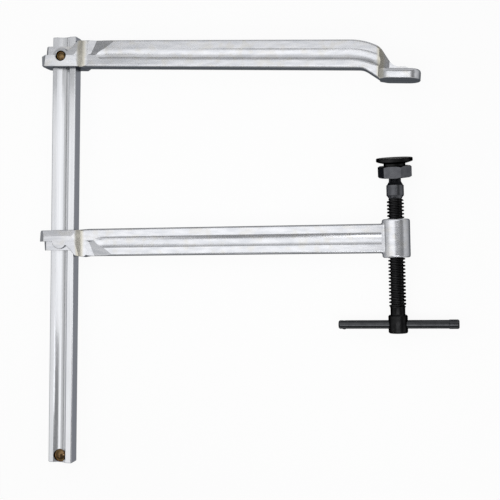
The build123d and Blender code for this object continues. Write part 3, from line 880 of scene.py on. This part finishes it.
@dataclass(frozen=True)
class Softbox:
    """One overhead lamp: its lowest and highest x and y, and its brightness where mirrored."""

    name: str
    low: tuple[float, float]
    high: tuple[float, float]
    radiance: float

    def hang(self, height: float) -> None:
        """Hang the lamp so that it faces straight down.

        An area lamp of power P and area A has a radiance of P / (pi A), so P = radiance pi A.

        Args:
            height: Its height over the floor.
        """
        wide, deep = ((high - low) * MM for high, low in zip(self.high, self.low))
        lamp = bpy.data.lights.new(self.name, "AREA")
        lamp.shape = "RECTANGLE"
        lamp.size, lamp.size_y = wide, deep
        lamp.energy = self.radiance * math.pi * wide * deep
        hung = bpy.data.objects.new(self.name, lamp)
        middle = [(low + high) / 2 * MM for low, high in zip(self.low, self.high)]
        hung.location = (*middle, height * MM)
        hung.visible_camera = False
        bpy.context.scene.collection.objects.link(hung)


@dataclass(frozen=True)
class Studio:
    """Pale floor and wall, overhead softboxes round a gap, and the camera at the photo's angle."""

    camera_from_rail: tuple[float, float, float] = (463.3, 271.8, 996.7)
    camera_turn: tuple[float, float, float] = (-0.03, 13.39, 0.66)
    lens: float = 61.2
    sensor: float = 36.0
    sight: float = 30000.0
    floor_reach: float = 9000.0
    wall_height: float = 4000.0
    paper_colour: str = "#F6F6F6"
    paper_roughness: float = 0.9
    backdrop_share: float = 0.93
    world_level: float = 0.3
    lamp_height: float = 400.0
    softboxes: tuple[Softbox, ...] = (
        Softbox("outer_softbox", (-720.0, -500.0), (-430.0, 500.0), 0.45),
        Softbox("rail_softbox", (-430.0, -500.0), (-240.0, 275.0), 1.0),
        Softbox("arm_softbox", (-240.0, -150.0), (150.0, 320.0), 1.05),
        Softbox("far_softbox", (-430.0, 320.0), (150.0, 640.0), 0.55),
        Softbox("pad_softbox", (150.0, 100.0), (400.0, 320.0), 1.3),
        Softbox("bar_softbox", (60.0, -300.0), (400.0, -100.0), 2.6),
    )

    def lay_floor(self) -> bpy.types.Object:
        """Lay the floor at the height of the frame's origin, with a wall round its edge.

        Returns:
            The floor.
        """
        reach, top = self.floor_reach * MM, self.wall_height * MM
        sides = [(-reach, -reach), (reach, -reach), (reach, reach), (-reach, reach)]
        corners = [(x, y, z) for z in (0, top) for x, y in sides]
        walls = [(low, low + 4, (low + 1) % 4 + 4, (low + 1) % 4) for low in range(4)]
        mesh = bpy.data.meshes.new("floor")
        mesh.from_pydata(corners, [], [(0, 1, 2, 3), *walls])
        floor = bpy.data.objects.new("floor", mesh)
        bpy.context.scene.collection.objects.link(floor)
        mesh.materials.append(self.paper())
        return floor

    def seen(self, tree: bpy.types.NodeTree) -> bpy.types.NodeSocket:
        """Add a pattern that is one for a ray that sees the paper, itself or in metal or glass.

        Args:
            tree: Node tree that gets the pattern.

        Returns:
            The pattern's socket.
        """
        ray = add_node(tree, "ShaderNodeLightPath")
        seen = ray.outputs["Is Camera Ray"]
        for kind in ("Is Glossy Ray", "Is Transmission Ray"):
            either = add_node(
                tree, "ShaderNodeMath", {0: seen, 1: ray.outputs[kind]}, operation="MAXIMUM"
            )
            seen = either.outputs[0]
        return seen

    def paper(self) -> bpy.types.Material:
        """Make the white paper: matt, and partly its own light where it is seen or mirrored.

        Returns:
            The material.
        """
        material, tree, shader = new_material("matt_white_paper")
        shader.inputs["Base Color"].default_value = linear(self.paper_colour)
        shader.inputs["Roughness"].default_value = self.paper_roughness
        shader.inputs["Specular IOR Level"].default_value = 0.0
        share = add_node(
            tree,
            "ShaderNodeMath",
            {0: self.seen(tree), 1: self.backdrop_share},
            operation="MULTIPLY",
        )
        glow = add_node(tree, "ShaderNodeEmission", {"Color": (1, 1, 1, 1), "Strength": 1.0})
        mixed = add_node(
            tree,
            "ShaderNodeMixShader",
            {0: share.outputs[0], 1: shader.outputs["BSDF"], 2: glow.outputs["Emission"]},
        )
        output = next(node for node in tree.nodes if node.type == "OUTPUT_MATERIAL")
        tree.links.new(mixed.outputs["Shader"], output.inputs["Surface"])
        return material

    def light_world(self) -> None:
        """Make the world a faint even light, the same for every ray."""
        world = bpy.data.worlds.new("studio")
        world.use_nodes = True
        light = world.node_tree.nodes["Background"]
        light.inputs["Color"].default_value = (1, 1, 1, 1)
        light.inputs["Strength"].default_value = self.world_level
        bpy.context.scene.world = world

    def set_camera(self) -> None:
        """Set the camera over the clamp, at a fixed place from the rail's lower inner edge."""
        low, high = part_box("rail")
        dx, dy, dz = (d * MM for d in self.camera_from_rail)
        spot = Vector((high[0] + dx, low[1] + dy, (low[2] + high[2]) / 2 + dz))
        about_x, about_y, about_z = (math.radians(a) for a in self.camera_turn)
        turn = (
            Matrix.Rotation(about_y, 4, "Y")
            @ Matrix.Rotation(about_x, 4, "X")
            @ Matrix.Rotation(about_z, 4, "Z")
        )
        lens = bpy.data.cameras.new("photo_camera")
        lens.lens = self.lens
        lens.sensor_width = self.sensor
        lens.clip_end = self.sight * MM
        eye = bpy.data.objects.new("photo_camera", lens)
        eye.matrix_world = Matrix.Translation(spot) @ turn
        bpy.context.scene.collection.objects.link(eye)
        bpy.context.scene.camera = eye

    def build(self) -> None:
        """Set up the world, the floor, the lamps and the camera."""
        bpy.context.scene.view_settings.view_transform = "Standard"
        self.light_world()
        self.lay_floor()
        for softbox in self.softboxes:
            softbox.hang(self.lamp_height)
        self.set_camera()
        log.info("studio: %d softboxes", len(self.softboxes))


def main() -> None:
    """Load the frame, build and dress every piece, and set the studio round it."""
    logging.basicConfig(level=logging.INFO, format="%(message)s")
    for old in list(bpy.data.objects):
        bpy.data.objects.remove(old)
    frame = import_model()
    yellow = YellowZincFinish().build()
    dark = DARK_BLACK.build()
    smooth = SMOOTH_BLACK.build()
    Rail().dress(frame, yellow)
    FixedArm().dress(frame, yellow)
    SlidingArm().dress(frame)
    TommyBar().dress(frame)
    SwivelPad().dress(frame, dark, smooth)
    Spindle().build(frame, dark, smooth)
    Studio().build()


if __name__ == "__main__":
    main()
